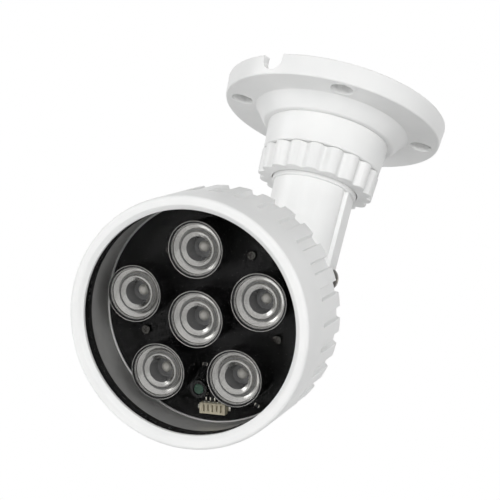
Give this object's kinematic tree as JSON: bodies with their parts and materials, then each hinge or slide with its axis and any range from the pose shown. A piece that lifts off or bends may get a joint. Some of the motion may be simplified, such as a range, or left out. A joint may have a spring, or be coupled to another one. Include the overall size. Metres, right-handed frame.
{
  "type": "infrared illuminator",
  "caption": "Infrared lamp head with a clear round window and lens emitters, on a swivelling and tilting ceiling bracket with a lobed locking collar.",
  "frame": {"origin": "centre of the bracket base's mounting face", "axes": "+Z into the ceiling that the base is fixed to, X along the elbow's axis, and the head faces -Y and down at rest"},
  "size_m": [0.1014, 0.1789, 0.1782],
  "materials": {
    "white_paint": "gloss paint",
    "clear_glass": "polished",
    "black_rubber": "satin",
    "sleeve_silver": "satin",
    "board_black": "gloss",
    "holder_black": "satin",
    "lens_clear": "polished",
    "emitter_body": "satin",
    "sensor_green": "gloss",
    "sleeve_black": "satin",
    "connector_cream": "satin",
    "pin_brass": "bright",
    "chip_dark": "satin",
    "screw_steel": "bright",
    "screw_black": "satin",
    "plain_aluminium": "satin",
    "disc_fibre": "matte",
    "driver_green": "gloss",
    "coil_ferrite": "matte",
    "can_silver": "satin",
    "link_copper": "bright"
  },
  "bodies": {
    "bracket": {"bracket_base": "white_paint", "slip_washer": "disc_fibre"},
    "collar": {"lock_collar": "white_paint"},
    "swivel_arm": {"upper_arm": "white_paint", "pivot_screw": "screw_steel"},
    "head": {"board_connector": "connector_cream", "board_resistors": "chip_dark", "board_screws": "screw_black", "cable_seal": "black_rubber", "connector_pins": "pin_brass", "driver_board": "driver_green", "driver_capacitor": "can_silver", "driver_chip": "chip_dark", "driver_coil": "coil_ferrite", "elbow_disc": "disc_fibre", "emitter_1": "emitter_body", "emitter_2": "emitter_body", "emitter_3": "emitter_body", "emitter_4": "emitter_body", "emitter_5": "emitter_body", "emitter_6": "emitter_body", "front_bezel": "white_paint", "heat_sink": "plain_aluminium", "housing": "white_paint", "housing_oring": "black_rubber", "inner_sleeve": "sleeve_silver", "led_board": "board_black", "lens_1": "lens_clear", "lens_2": "lens_clear", "lens_3": "lens_clear", "lens_4": "lens_clear", "lens_5": "lens_clear", "lens_6": "lens_clear", "lens_holder_1": "holder_black", "lens_holder_2": "holder_black", "lens_holder_3": "holder_black", "lens_holder_4": "holder_black", "lens_holder_5": "holder_black", "lens_holder_6": "holder_black", "light_sensor": "sensor_green", "link_wires": "link_copper", "lower_arm": "white_paint", "nut_washer": "screw_steel", "pivot_nut": "screw_steel", "sensor_sleeve": "sleeve_black", "standoff_screws": "screw_steel", "standoffs": "screw_steel", "stem_gasket": "black_rubber", "stem_nut": "screw_steel", "window_gasket": "black_rubber", "window_glass": "clear_glass"}
  },
  "joints": [
    {"name": "arm_pan", "type": "hinge", "parent": "bracket", "child": "swivel_arm", "pos_m": [0, 0, -0.03], "axis": [0, 0, 1], "range_deg": [-180, 180]},
    {"name": "collar_turn", "type": "hinge", "parent": "bracket", "child": "collar", "pos_m": [0, 0, -0.036], "axis": [0, 0, -1], "range_deg": [0, 180]},
    {"name": "head_tilt", "type": "hinge", "parent": "swivel_arm", "child": "head", "pos_m": [0, 0, -0.0815], "axis": [1, 0, 0], "range_deg": [-27.4, 152.6]}
  ]
}
